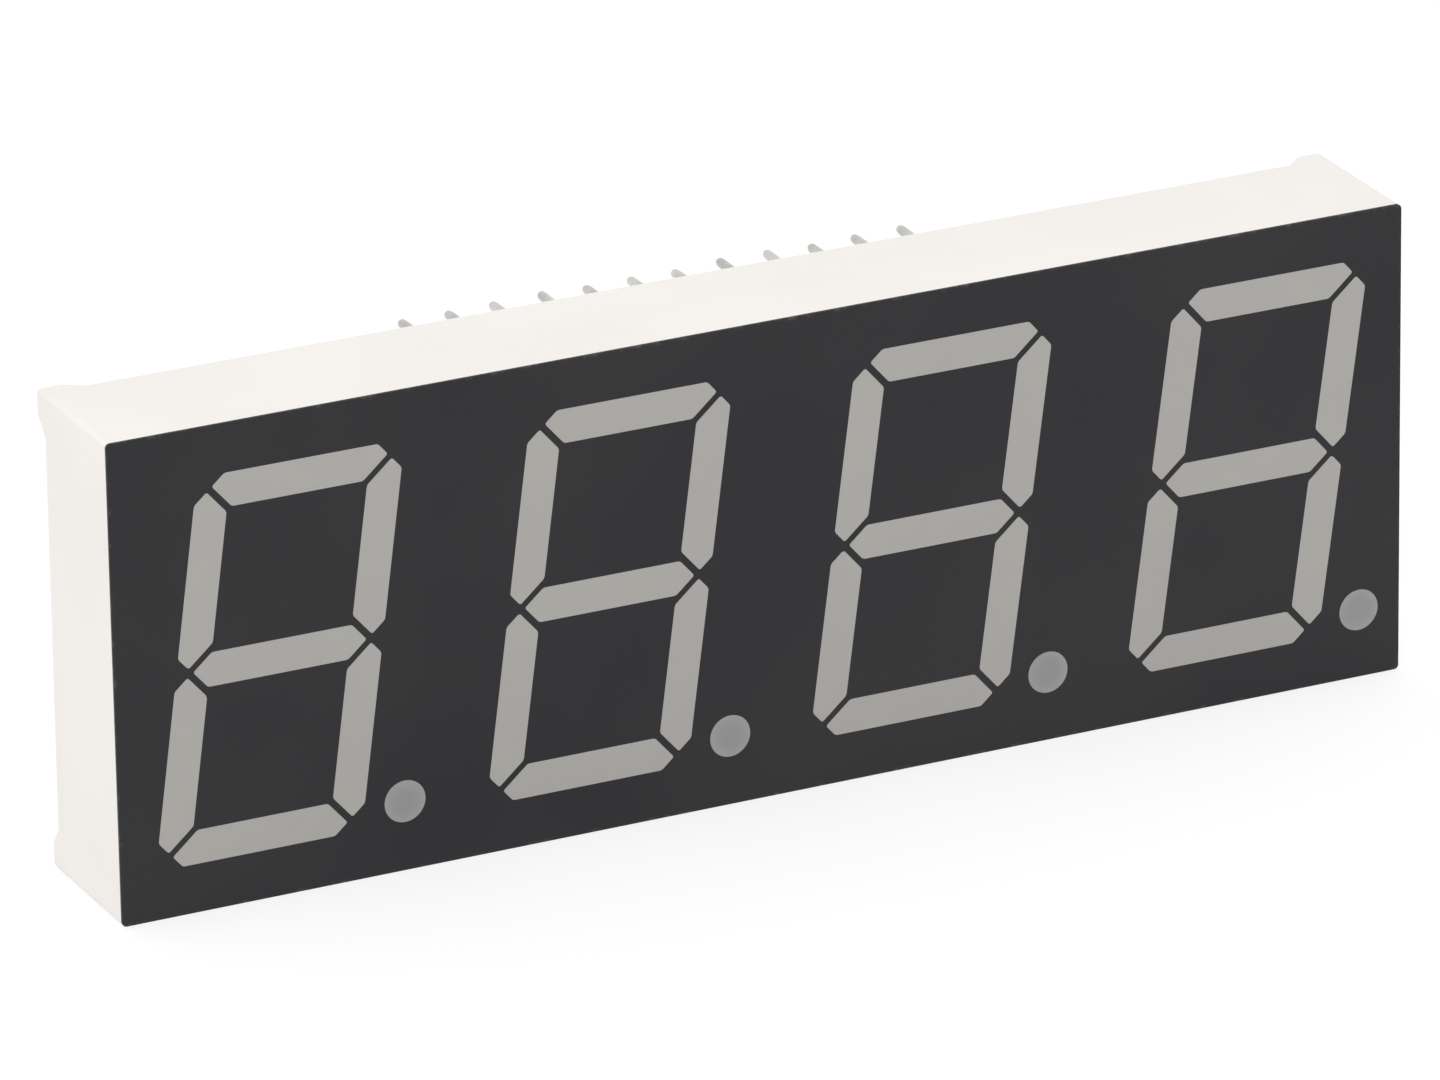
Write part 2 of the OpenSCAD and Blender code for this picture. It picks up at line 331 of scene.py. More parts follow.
def straight_pin():
    """The first pin: a square root, and a round free length in rings that a lean can follow."""
    low, high = PIN_BOXES[0]
    centre = (low + high) / 2
    bpy.ops.object.select_all(action="DESELECT")
    bpy.ops.mesh.primitive_plane_add(size=high.x - low.x, location=(centre.x, low.y, centre.z),
                                     rotation=(-math.pi / 2, 0, 0))
    pin = bpy.context.object
    pin.name = pin.data.name = "straight_pin"
    place(pin)
    edit(pin)
    bpy.ops.mesh.select_all(action="SELECT")
    bpy.ops.mesh.extrude_region_move(TRANSFORM_OT_translate={"value": (0, RESIN_HIGH.y - low.y, 0)})
    bpy.ops.mesh.delete(type="ONLY_FACE")
    pick(pin, "EDGE", lambda edge: not edge.is_manifold)
    bpy.ops.mesh.subdivide(number_cuts=WIRE_SIDES // 4 - 1)
    # The round end is bridged at the tip, then moved back flush with the root's end
    bpy.ops.mesh.primitive_circle_add(vertices=WIRE_SIDES, radius=PIN_FREE_R,
                                      location=(centre.x, high.y, centre.z),
                                      rotation=(-math.pi / 2, 0, 0))
    pick(pin, "EDGE", lambda edge: not edge.is_manifold)
    bpy.ops.mesh.bridge_edge_loops()
    pick(pin, "EDGE", lambda edge: not edge.is_manifold)
    bpy.ops.mesh.edge_face_add()
    bpy.ops.transform.translate(value=(0, RESIN_HIGH.y - high.y, 0))
    free = high.y - POINT_LENGTH - RESIN_HIGH.y
    for _ in range(FREE_RINGS):
        raise_face(free / FREE_RINGS, 1, centre)
    last_along, last_width = 0, 1
    for along, width in POINT_RINGS:
        raise_face((along - last_along) * POINT_LENGTH, width / last_width, centre)
        last_along, last_width = along, width
    close(pin)
    in_order(pin)
    return pin


def row_of_pins(first):
    """The first pin and eleven copies, each with its own mesh, in their places along the row."""
    row = [first]
    for low, high in PIN_BOXES[1:]:
        pin = new_copy(first, "straight_pin")
        edit(pin)
        bpy.ops.mesh.select_all(action="SELECT")
        bpy.ops.transform.translate(value=(low.x - PIN_BOXES[0][0].x, 0, 0))
        bpy.ops.object.mode_set(mode="OBJECT")
        row.append(pin)
    return row


def finish_piece(obj, material):
    """Gives a finished piece its material and its body."""
    obj.data.materials.clear()
    obj.data.materials.append(material)
    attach(obj, "root")


def paint_nodes(material, *nodes):
    """Gives CAD nodes a material in every one of their slots."""
    for node in nodes:
        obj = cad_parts[node]
        if not obj.data.materials:
            obj.data.materials.append(material)
        for slot in obj.material_slots:
            slot.material = material


# --- Building finishes ---------------------------------------------------------------------

class Finish:
    """One procedural material. Most methods add a node and return its result as a socket."""

    def __init__(self, name, roughness, metallic=0.0, specular=0.5, coat=0.0, coat_roughness=0.1):
        self.material = bpy.data.materials.new(name)
        self.material.use_nodes = True
        self.tree = self.material.node_tree
        self.shader = self.tree.nodes["Principled BSDF"]
        self.shader.inputs["Roughness"].default_value = roughness
        self.shader.inputs["Metallic"].default_value = metallic
        self.shader.inputs["Specular IOR Level"].default_value = specular
        self.shader.inputs["Coat Weight"].default_value = coat
        self.shader.inputs["Coat Roughness"].default_value = coat_roughness
        self.coords = self.tree.nodes.new("ShaderNodeTexCoord").outputs["Object"]

    def add(self, kind, inputs=(), **settings):
        """A node of this kind, with its settings, and its inputs given as values or as sockets."""
        node = self.tree.nodes.new(kind)
        for key, value in settings.items():
            setattr(node, key, value)
        for key, value in dict(inputs).items():
            if isinstance(value, bpy.types.NodeSocket):
                self.tree.links.new(value, node.inputs[key])
            else:
                node.inputs[key].default_value = value
        return node

    def scaled(self, scale):
        """The object's coordinates, scaled along each axis."""
        return self.add("ShaderNodeMapping", {"Vector": self.coords, "Scale": scale}).outputs["Vector"]

    def noise(self, size, detail, rough=0.5, vector=None):
        """Soft noise whose blotches are about this many metres across."""
        node = self.add("ShaderNodeTexNoise", {"Vector": vector or self.coords, "Scale": 1 / size,
                                               "Detail": detail, "Roughness": rough})
        return node.outputs["Fac"]

    def math(self, operation, a, b=0.0, c=0.0):
        """One calculation on up to three values or sockets."""
        return self.add("ShaderNodeMath", {0: a, 1: b, 2: c}, operation=operation).outputs[0]

    def band(self, value, low, high, to_low=0.0, to_high=1.0):
        """The value, remapped smoothly from one range to another and held at its ends."""
        node = self.add("ShaderNodeMapRange", {"Value": value, "From Min": low, "From Max": high,
                                               "To Min": to_low, "To Max": to_high},
                        interpolation_type="SMOOTHSTEP")
        return node.outputs["Result"]

    def mix(self, factor, a, b):
        """One colour blended into another, each given as a socket or as three channels."""
        first, second = (c if isinstance(c, bpy.types.NodeSocket) else (*c, 1) for c in (a, b))
        return self.add("ShaderNodeMix", {0: factor, 6: first, 7: second}, data_type="RGBA").outputs[2]

    def axes(self):
        """The object's X, Y and Z as three sockets."""
        return self.add("ShaderNodeSeparateXYZ", {"Vector": self.coords}).outputs

    def away(self, a, b):
        """How far off a place is that lies a one way and b square to it."""
        return self.math("SQRT", self.math("ADD", self.math("MULTIPLY", a, a), self.math("MULTIPLY", b, b)))

    def colour(self, socket):
        """Colours the surface."""
        self.tree.links.new(socket, self.shader.inputs["Base Color"])

    def roughness(self, socket):
        """Sets how much each place scatters a reflection."""
        self.tree.links.new(socket, self.shader.inputs["Roughness"])

    def bump(self, height, depth, strength):
        """Raises bumps whose full height is this many metres."""
        node = self.add("ShaderNodeBump", {"Height": height, "Distance": depth, "Strength": strength})
        self.tree.links.new(node.outputs["Normal"], self.shader.inputs["Normal"])


def housing_finish(s):
    """White moulded plastic: broad, faint clouds and a fine spark-eroded grain."""
    f = Finish("moulded_white", s.gloss)
    clouds = f.band(f.noise(9 * MM, 2.0), 0.35, 0.65)
    f.colour(f.mix(clouds, tuple(s.white), tuple(s.shade)))
    grain = f.noise(0.22 * MM, 2.0, 0.6)
    f.roughness(f.band(grain, 0.2, 0.8, s.gloss - 0.06, s.gloss + 0.06))
    f.bump(grain, 0.006 * MM, 0.5)
    return f.material


def film_finish(s):
    """Dark matte film: fine grain, faint cloudiness, and a pale speckled rim that is partly rubbed wear and
    partly a painted highlight of the edge catching light.
    """
    f = Finish("face_film_matte", s.gloss, specular=0.25)
    x, _, z = f.axes()
    across = f.math("SUBTRACT", BODY_HALF_X, f.math("ABSOLUTE", x))
    up = f.math("SUBTRACT", BODY_HALF_Z, f.math("ABSOLUTE", f.math("SUBTRACT", z, BODY_CENTRE_Z)))
    from_rim = f.math("MINIMUM", across, up)
    # The pale speckled rim is partly wear and partly a painted highlight of the edge catching light
    rubbed_and_highlit = f.band(from_rim, s.wear_and_highlight_width, 0.0)
    speckle = f.band(f.noise(0.5 * MM, 4.0, 0.65), 0.52, 0.7)
    grain = f.noise(0.12 * MM, 2.0, 0.6)
    clouds = f.band(f.noise(14 * MM, 2.0), 0.3, 0.7, 0.0, 0.1)
    tone = f.math("ADD", f.math("MULTIPLY", rubbed_and_highlit, speckle), clouds)
    f.colour(f.mix(f.math("MINIMUM", tone, 1.0), tuple(s.film), tuple(s.worn_and_highlight)))
    f.roughness(f.band(grain, 0.2, 0.8, s.gloss - 0.08, s.gloss + 0.08))
    f.bump(grain, 0.004 * MM, 0.6)
    return f.material


def segment_finish(s):
    """Milky cast resin, with faint cool and warm clouds and a satin skin."""
    f = Finish("milky_resin_segment", s.gloss, specular=0.4)
    clouds = f.band(f.noise(2.6 * MM, 3.0), 0.36, 0.64)
    f.colour(f.mix(clouds, tuple(s.segment), tuple(s.segment_warm)))
    skin = f.noise(0.5 * MM, 3.0)
    f.roughness(f.band(skin, 0.25, 0.75, s.gloss - 0.07, s.gloss + 0.07))
    f.bump(skin, 0.006 * MM, 0.4)
    return f.material


def point_finish(s, low, high):
    """The resin of one decimal point: deeper at the middle, and lighter towards the rim as painted light,
    standing in for light bounced off the white cup's wall.
    """
    f = Finish("milky_resin_point", s.gloss, specular=0.4)
    middle = (low + high) / 2
    radius = (high.x - low.x) / 2
    x, _, z = f.axes()
    dx = f.math("SUBTRACT", x, middle.x)
    dz = f.math("SUBTRACT", z, middle.z)
    # Painted light: the resin grows lighter towards the rim, as if lit by the white cup's wall
    painted_rim_light = f.band(f.away(dx, dz), 0.35 * radius, 1.1 * radius)
    clouds = f.band(f.noise(1.2 * MM, 3.0), 0.35, 0.65, 0.0, 0.2)
    tone = f.math("MINIMUM", f.math("ADD", painted_rim_light, clouds), 1.0)
    f.colour(f.mix(tone, tuple(s.point), tuple(s.point_painted_rim_light)))
    skin = f.noise(0.4 * MM, 3.0)
    f.roughness(f.band(skin, 0.25, 0.75, s.gloss - 0.07, s.gloss + 0.07))
    f.bump(skin, 0.005 * MM, 0.4)
    return f.material


def board_finish():
    """Tan laminate with its glass weave."""
    f = Finish("board_laminate", 0.5)
    x, _, z = f.axes()
    strand_pitch = 0.9 * MM
    warp = f.math("SINE", f.math("MULTIPLY", x, math.tau / strand_pitch))
    weft = f.math("SINE", f.math("MULTIPLY", z, math.tau / strand_pitch))
    weave = f.band(f.math("MULTIPLY", warp, weft), -1, 1)
    f.colour(f.mix(weave, linear(204, 186, 138), linear(189, 170, 122)))
    f.roughness(f.band(f.noise(0.4 * MM, 3.0), 0.25, 0.75, 0.42, 0.6))
    f.bump(weave, 0.01 * MM, 0.6)
    return f.material


def metal_finish(name, bright, dull, grain, along=(1, 1, 1), roughness=0.34):
    """Metal with dull patches and a fine grain, drawn out along one axis where asked."""
    f = Finish(name, roughness, metallic=1.0)
    patches = f.band(f.noise(1.4 * MM, 3.0), 0.38, 0.66)
    f.colour(f.mix(patches, bright, dull))
    lines = f.noise(grain, 3.0, 0.6, f.scaled(along))
    f.roughness(f.band(lines, 0.2, 0.8, roughness - 0.08, roughness + 0.14))
    f.bump(lines, 0.006 * MM, 0.5)
    return f.material


def chip_finish():
    """Sawn amber crystal, cloudy and finely scored."""
    f = Finish("led_crystal", 0.25)
    clouds = f.band(f.noise(0.08 * MM, 2.0), 0.4, 0.6)
    f.colour(f.mix(clouds, linear(206, 166, 70), linear(186, 140, 48)))
    scores = f.noise(0.02 * MM, 3.0, 0.6, f.scaled((1, 0.2, 1)))
    f.roughness(f.band(scores, 0.2, 0.8, 0.18, 0.4))
    f.bump(scores, 0.002 * MM, 0.5)
    return f.material


def rear_resin_finish(s):
    """Cloudy cast resin over the board, whose tracks, vias and solder lands show faintly through it."""
    f = Finish("cast_resin_rear", 0.2, coat=0.35, coat_roughness=0.08)
    x, _, z = f.axes()
    half_track, half_via, half_land, soft_edge = 0.22 * MM, 0.5 * MM, 0.95 * MM, 0.15 * MM
    below_pins, above_bottom, beside_ends = 2.4 * MM, 1.2 * MM, 2 * MM
    via_step = 1.3 * MM
    rows_between_drops = 5
    bus_faintness = 0.6
    centres = [(low + high) / 2 for low, high in PIN_BOXES]
    pitch, pin_z = centres[1].x - centres[0].x, centres[0].z
    digit_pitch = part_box("digit_2_point")[0].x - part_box("digit_1_point")[0].x
    count = len(PIN_BOXES)
    bus_top, bus_low = pin_z - below_pins, RESIN_LOW.z + above_bottom
    bus_step = (bus_top - bus_low) / count

    def shows(distance, width):
        """1 up to this distance from the middle of a shape, and fading softly to 0 beyond it."""
        return f.band(distance, width + soft_edge, width)

    # One bus for each pin runs the board's length
    rows = f.math("DIVIDE", f.math("SUBTRACT", bus_top, z), bus_step)
    row = f.math("FLOOR", rows)
    from_bus = f.math("MULTIPLY", f.math("SUBTRACT", f.math("FRACT", rows), 0.5), bus_step)
    among_rows = shows(f.math("ABSOLUTE", f.math("SUBTRACT", rows, count / 2)), count / 2)
    inside = shows(f.math("ABSOLUTE", x), RESIN_HIGH.x - beside_ends)
    bus = shows(f.math("ABSOLUTE", from_bus), half_track)
    # Vias step along the buses under each digit
    along = f.math("SUBTRACT", x, f.math("MULTIPLY", row, via_step))
    from_via = f.math("WRAP", along, digit_pitch / 2, -digit_pitch / 2)
    via = shows(f.away(from_via, from_bus), half_via)
    buses = f.math("MULTIPLY", f.math("MAXIMUM", bus, via), f.math("MULTIPLY", inside, among_rows))
    buses = f.math("MULTIPLY", buses, bus_faintness)
    # Each pin stands in a land, and its track drops to a bus of its own
    column = f.math("FLOOR", f.math("ADD", f.math("DIVIDE", x, pitch), count / 2))
    from_pin_x = f.math("WRAP", f.math("SUBTRACT", x, centres[0].x), pitch / 2, -pitch / 2)
    in_columns = shows(f.math("ABSOLUTE", x), pitch * count / 2)
    own_row = f.math("MODULO", f.math("MULTIPLY", column, rows_between_drops), count)
    foot_z = f.math("SUBTRACT", bus_top, f.math("MULTIPLY", f.math("ADD", own_row, 0.5), bus_step))
    below_pin = shows(f.math("SUBTRACT", z, pin_z), 0)
    above_bus = shows(f.math("SUBTRACT", foot_z, z), 0)
    drop = f.math("MULTIPLY", shows(f.math("ABSOLUTE", from_pin_x), half_track),
                  f.math("MULTIPLY", below_pin, above_bus))
    land = shows(f.away(from_pin_x, f.math("SUBTRACT", z, pin_z)), half_land)
    drops = f.math("MULTIPLY", f.math("MAXIMUM", drop, land), in_columns)

    copper = f.math("MULTIPLY", f.math("MAXIMUM", buses, drops), s.depth)
    clouds = f.band(f.noise(11 * MM, 2.0), 0.3, 0.75)
    f.colour(f.mix(copper, f.mix(clouds, tuple(s.resin), tuple(s.deep)), tuple(s.track)))
    skin = f.noise(3 * MM, 2.0)
    f.roughness(f.band(skin, 0.3, 0.7, 0.14, 0.26))
    f.bump(skin, 0.02 * MM, 0.5)
    return f.material


# --- Pieces --------------------------------------------------------------------------------

class LEDDISPLAY_OT_housing(bpy.types.Operator):
    """Softens the rear rim and the feet of the moulded housing, and gives it its white plastic"""
    bl_idname = "leddisplay.housing"
    bl_label = "Housing"

    def execute(self, context):
        s = context.scene.leddisplay_housing
        housing = merged_copy("reflector_housing", "moulded_housing")
        edit(housing)
        pick(housing, "EDGE", is_rear_edge)
        bpy.ops.mesh.bevel(offset=s.edge, offset_type="OFFSET", segments=3, profile=0.5,
                           affect="EDGES", clamp_overlap=False, miter_outer="ARC")
        bpy.ops.mesh.select_all(action="SELECT")
        bpy.ops.mesh.remove_doubles(threshold=NEAR_PLACE)
        smooth(housing, 30)
        level_flats(housing)
        finish_piece(housing, housing_finish(s))
        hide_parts("reflector_housing")
        return {"FINISHED"}


def is_sharp(edge, degrees):
    """An edge whose two faces meet at more than this angle."""
    return edge.is_manifold and edge.calc_face_angle(0) > math.radians(degrees)


def is_rear_edge(edge):
    """A sharp edge that lies in the rear rim or in a foot's tip."""
    depth, other_depth = (v.co.y for v in edge.verts)
    flat = abs(depth - other_depth) < SAME_PLACE
    at_rear = min(abs(depth - RIM_Y), abs(depth - FEET_Y)) < NEAR_PLACE
    return flat and at_rear and is_sharp(edge, 30)


def is_corner_edge(edge):
    """A sharp edge that runs back from the front at a corner of a segment's outline."""
    run = edge.verts[0].co - edge.verts[1].co
    runs_back = abs(run.y) > 0.5 * run.length
    return runs_back and is_sharp(edge, 20)


def round_corners(obj, width):
    """Rounds the corners of the segments' outlines on the film, or on one segment."""
    edit(obj)
    pick(obj, "EDGE", is_corner_edge)
    bpy.ops.mesh.bevel(offset=width, offset_type="OFFSET", segments=3, profile=0.5, affect="EDGES",
                       clamp_overlap=False)
    bpy.ops.object.mode_set(mode="OBJECT")
    smooth(obj, 30)


class LEDDISPLAY_OT_face(bpy.types.Operator):
    """Rounds the corners of the film's windows, and gives the film its dark matte finish"""
    bl_idname = "leddisplay.face"
    bl_label = "Face film"

    def execute(self, context):
        film = merged_copy("face_film", "printed_film")
        round_corners(film, context.scene.leddisplay_windows.corner)
        finish_piece(film, film_finish(context.scene.leddisplay_face))
        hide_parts("face_film")
        return {"FINISHED"}


class LEDDISPLAY_OT_windows(bpy.types.Operator):
    """Casts the rounded segments of one digit, copies them to the others, and tints the points"""
    bl_idname = "leddisplay.windows"
    bl_label = "Segments and points"

    def execute(self, context):
        s = context.scene.leddisplay_windows
        milky = segment_finish(s)
        for letter in LETTERS:
            first = merged_copy(f"digit_1_segment_{letter}", f"segment_{letter}_1")
            round_corners(first, s.corner)
            for i in DIGITS:
                segment = first if i == 1 else new_copy(first, f"segment_{letter}_{i}")
                self.finish_segment(segment, letter, i, milky)
        for i in DIGITS:
            node = f"digit_{i}_point"
            paint_nodes(point_finish(s, *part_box(node)), node)
        return {"FINISHED"}

    @staticmethod
    def finish_segment(segment, letter, i, milky):
        """Moves a copy of the first digit's segment to its own digit and finishes it."""
        start, own = (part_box(f"digit_{k}_segment_{letter}")[0] for k in (1, i))
        edit(segment)
        bpy.ops.mesh.select_all(action="SELECT")
        bpy.ops.transform.translate(value=own - start)
        bpy.ops.object.mode_set(mode="OBJECT")
        finish_piece(segment, milky)
        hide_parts(f"digit_{i}_segment_{letter}")


class LEDDISPLAY_OT_inside(bpy.types.Operator):
    """Gives the board, the solder, the chips and the bond wires their finishes"""
    bl_idname = "leddisplay.inside"
    bl_label = "Board, chips and wires"

    def execute(self, context):
        paint_nodes(board_finish(), "circuit_board")
        paint_nodes(metal_finish("dull_solder", linear(186, 188, 190), linear(160, 161, 163), 0.1 * MM,
                                 roughness=0.42), "solder_joints")
        paint_nodes(chip_finish(), *[f"led_chips_digit_{i}" for i in DIGITS])
        paint_nodes(metal_finish("gold_wire", linear(224, 182, 84), linear(206, 164, 70), 0.02 * MM,
                                 roughness=0.28), *[f"bond_wires_digit_{i}" for i in DIGITS])
        return {"FINISHED"}


class LEDDISPLAY_OT_rear_resin(bpy.types.Operator):
    """Casts the resin behind the board, with its edge drawn up the wall and round every pin"""
    bl_idname = "leddisplay.rear_resin"
    bl_label = "Rear resin"

    # The edge's climb up the wall, in steps that steepen by a power
    climb_steps = 7
    climb_curve = 2.6
    # A collar up a pin: how far it reaches out, how far it starts under the surface and ends inside
    # the pin, and the powers by which it narrows and rises
    collar_steps = 7
    collar_reach = 0.5 * MM
    collar_under = 0.005 * MM
    collar_inside = 0.02 * MM
    collar_narrowing = 2
    collar_rise = 2.8
    # Sides of a solder joint, and how far in front of the resin the cone that cuts its place starts
    solder_sides = 64
    solder_overcut = 0.02 * MM
    # How close two points of the resin are when they are merged
    merge_distance = 5e-7

    def execute(self, context):
        s = context.scene.leddisplay_rear
        board_low, board_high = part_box("circuit_board")
        middle = (RESIN_LOW + RESIN_HIGH) / 2
        size = RESIN_HIGH - RESIN_LOW
        depth = RESIN_HIGH.y - board_high.y
        bpy.ops.object.select_all(action="DESELECT")
        bpy.ops.mesh.primitive_cube_add(size=1, scale=(size.x, depth, size.z),
                                        location=(middle.x, RESIN_HIGH.y - depth / 2, middle.z))
        resin = bpy.context.object
        resin.name = resin.data.name = "cast_rear_resin"
        place(resin)

        edit(resin)
        pick(resin, "FACE", lambda face: face.normal.y < -SQUARE_ON)
        bpy.ops.mesh.inset(thickness=board_low.x - RESIN_LOW.x)
        pick(resin, "FACE", lambda face: face.normal.y < -SQUARE_ON
             and max(abs(v.co.x) for v in face.verts) > board_high.x + NEAR_PLACE)
        to_front = RESIN_LOW.y - board_high.y
        bpy.ops.mesh.extrude_region_move(TRANSFORM_OT_translate={"value": (0, to_front, 0)})

        pick(resin, "FACE", lambda face: face.normal.y > SQUARE_ON)
        for _ in range(self.climb_steps):
            bpy.ops.mesh.inset(thickness=s.spread / self.climb_steps)
        for step in range(self.climb_steps):
            inward = s.spread * step / self.climb_steps
            pick(resin, "VERT", lambda v: abs(v.co.y - RESIN_HIGH.y) < SAME_PLACE
                 and abs(self.from_wall(v.co) - inward) < NEAR_PLACE)
            climb = s.climb * (1 - step / self.climb_steps) ** self.climb_curve
            bpy.ops.transform.translate(value=(0, climb, 0))
        bpy.ops.object.mode_set(mode="OBJECT")

        combine(resin, "UNION", [self.collar(s, (low + high) / 2) for low, high in PIN_BOXES])
        combine(resin, "DIFFERENCE", row_of_pins(straight_pin()))
        combine(resin, "DIFFERENCE", self.solder_cones())
        in_order(resin)
        edit(resin)
        bpy.ops.mesh.select_all(action="SELECT")
        bpy.ops.mesh.remove_doubles(threshold=self.merge_distance)
        bpy.ops.mesh.dissolve_limited(angle_limit=math.radians(0.02))
        close(resin)
        in_order(resin)
        smooth(resin, 40)
        level_flats(resin)
        finish_piece(resin, rear_resin_finish(s))
        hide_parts("rear_resin")
        return {"FINISHED"}

    def solder_cones(self):
        """A solid cone in the place of each solder joint, drawn out forward to cut clean through."""
        low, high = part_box("solder_joints")
        pin_z = ((PIN_BOXES[0][0] + PIN_BOXES[0][1]) / 2).z
        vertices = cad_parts["solder_joints"].data.vertices
        top_r = max(abs(v.co.z - pin_z) for v in vertices if abs(v.co.y - high.y) < NEAR_PLACE)
        base_r = (high.z - low.z) / 2
        start_y = low.y - self.solder_overcut
        start_r = base_r + (base_r - top_r) * (low.y - start_y) / (high.y - low.y)
        cones = []
        for pin_low, pin_high in PIN_BOXES:
            place_on_pin = ((pin_low.x + pin_high.x) / 2, (start_y + high.y) / 2, pin_z)
            bpy.ops.object.select_all(action="DESELECT")
            bpy.ops.mesh.primitive_cone_add(vertices=self.solder_sides, radius1=start_r, radius2=top_r,
                                            depth=high.y - start_y, location=place_on_pin,
                                            rotation=(-math.pi / 2, 0, 0))
            cones.append(bpy.context.object)
            place(cones[-1])
        return cones

    @staticmethod
    def from_wall(co):
        """How far a point lies in from the nearest wall around the resin."""
        return min(co.x - RESIN_LOW.x, RESIN_HIGH.x - co.x, co.z - RESIN_LOW.z, RESIN_HIGH.z - co.z)

    def collar_ring(self, s, part):
        """The radius and height of a collar's ring that is this share of the way up."""
        width = (self.collar_reach + self.collar_inside) * (1 - part) ** self.collar_narrowing
        height = (s.collar + self.collar_under) * part ** self.collar_rise - self.collar_under
        return PIN_FREE_R - self.collar_inside + width, height

    def collar(self, s, centre):
        """One cone of resin drawn up a pin. It starts just under the surface and ends inside the pin."""
        radius, height = self.collar_ring(s, 0)
        bpy.ops.object.select_all(action="DESELECT")
        bpy.ops.mesh.primitive_circle_add(vertices=WIRE_SIDES, radius=radius, fill_type="NGON",
                                          location=(centre.x, RESIN_HIGH.y + height, centre.z),
                                          rotation=(-math.pi / 2, 0, 0))
        cone = bpy.context.object
        place(cone)
        edit(cone)
        bpy.ops.mesh.select_all(action="SELECT")
        for step in range(self.collar_steps):
            next_radius, next_height = self.collar_ring(s, (step + 1) / self.collar_steps)
            raise_face(next_height - height, next_radius / radius, centre)
            radius, height = next_radius, next_height
        close(cone)
        return cone


class LEDDISPLAY_OT_pins(bpy.types.Operator):
    """Makes one round pin on its square root, then copies it along the row, each leaning its own way"""
    bl_idname = "leddisplay.pins"
    bl_label = "Pins"

    # The power by which a pin's lean grows towards its tip
    lean_curve = 1.4

    def execute(self, context):
        s = context.scene.leddisplay_pins
        tin = metal_finish("tinned_wire", tuple(s.tin), tuple(s.dull), 0.12 * MM, along=(1, 0.15, 1))
        first = straight_pin()
        hand = random.Random(s.seed)
        for n, pin in zip(PIN_NUMBERS, row_of_pins(first)):
            pin.name = pin.data.name = f"terminal_pin_{n}"
            tip_y = PIN_BOXES[n - 1][1].y
            lean = Vector((hand.uniform(-s.lean, s.lean), 0, hand.uniform(-s.lean, s.lean)))
            rings = {round(v.co.y, 7) for v in pin.data.vertices if v.co.y > RESIN_HIGH.y + NEAR_PLACE}
            edit(pin)
            for depth in sorted(rings):
                pick(pin, "VERT", lambda v: abs(v.co.y - depth) < SAME_PLACE)
                along = (depth - RESIN_HIGH.y) / (tip_y - RESIN_HIGH.y)
                bpy.ops.transform.translate(value=lean * along ** self.lean_curve)
            smooth(pin, 40)
            finish_piece(pin, tin)
            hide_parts(f"pin_{n}")
        return {"FINISHED"}


# --- Stage ---------------------------------------------------------------------------------

# The floor's width in metres, and how far it lies under the display
FLOOR_WIDTH = 8
FLOOR_DROP = 0.02 * MM
# The floor's grey where it catches light, and its grey and its own glow where it is seen
FLOOR_LIT = 0.8
FLOOR_SEEN = 0.42
FLOOR_GLOW = 0.64
# The way that the lamp shines, its distance from the display and its width, in metres
LAMP_WAY = Vector((0.55, 0.47, -0.6)).normalized()
LAMP_AWAY = 0.8
LAMP_WIDTH = 0.7
# The camera's sensor width in millimetres, and the nearest and farthest places that it sees
SENSOR_WIDTH = 36
NEAREST, FARTHEST = 0.01, 20


def seen_directly(tree):
    """1 for rays that show a surface to the eye: camera, glossy and transmission rays."""
    path = tree.nodes.new("ShaderNodeLightPath")
    total = path.outputs["Is Camera Ray"]
    for name in ("Is Glossy Ray", "Is Transmission Ray"):
        larger = tree.nodes.new("ShaderNodeMath")
        larger.operation = "MAXIMUM"
        tree.links.new(total, larger.inputs[0])
        tree.links.new(path.outputs[name], larger.inputs[1])
        total = larger.outputs[0]
    return total


def floor_finish():
    """Pale floor: the same white as the sky where it is seen, and still darker under the display."""
    material = bpy.data.materials.new("pale_floor")
    material.use_nodes = True
    tree = material.node_tree
    tree.nodes.clear()
    out = tree.nodes.new("ShaderNodeOutputMaterial")
    lit, shown, glow = (tree.nodes.new(kind) for kind in
                        ("ShaderNodeBsdfDiffuse", "ShaderNodeBsdfDiffuse", "ShaderNodeEmission"))
    lit.inputs["Color"].default_value = (FLOOR_LIT, FLOOR_LIT, FLOOR_LIT, 1)
    shown.inputs["Color"].default_value = (FLOOR_SEEN, FLOOR_SEEN, FLOOR_SEEN, 1)
    glow.inputs["Color"].default_value = (1, 1, 1, 1)
    glow.inputs["Strength"].default_value = FLOOR_GLOW
    both, choice = tree.nodes.new("ShaderNodeAddShader"), tree.nodes.new("ShaderNodeMixShader")
    tree.links.new(shown.outputs[0], both.inputs[0])
    tree.links.new(glow.outputs[0], both.inputs[1])
    tree.links.new(seen_directly(tree), choice.inputs[0])
    tree.links.new(lit.outputs[0], choice.inputs[1])
    tree.links.new(both.outputs[0], choice.inputs[2])
    tree.links.new(choice.outputs[0], out.inputs["Surface"])
    return material


def white_sky(strength):
    """Even light from all round, which is seen as plain white."""
    world = bpy.context.scene.world or bpy.data.worlds.new("studio")
    bpy.context.scene.world = world
    world.use_nodes = True
    tree = world.node_tree
    tree.nodes.clear()
    out = tree.nodes.new("ShaderNodeOutputWorld")
    light, white = tree.nodes.new("ShaderNodeBackground"), tree.nodes.new("ShaderNodeBackground")
    light.inputs["Color"].default_value = white.inputs["Color"].default_value = (1, 1, 1, 1)
    light.inputs["Strength"].default_value = strength
    white.inputs["Strength"].default_value = 1.0
    choice = tree.nodes.new("ShaderNodeMixShader")
    tree.links.new(seen_directly(tree), choice.inputs[0])
    tree.links.new(light.outputs[0], choice.inputs[1])
    tree.links.new(white.outputs[0], choice.inputs[2])
    tree.links.new(choice.outputs[0], out.inputs["Surface"])


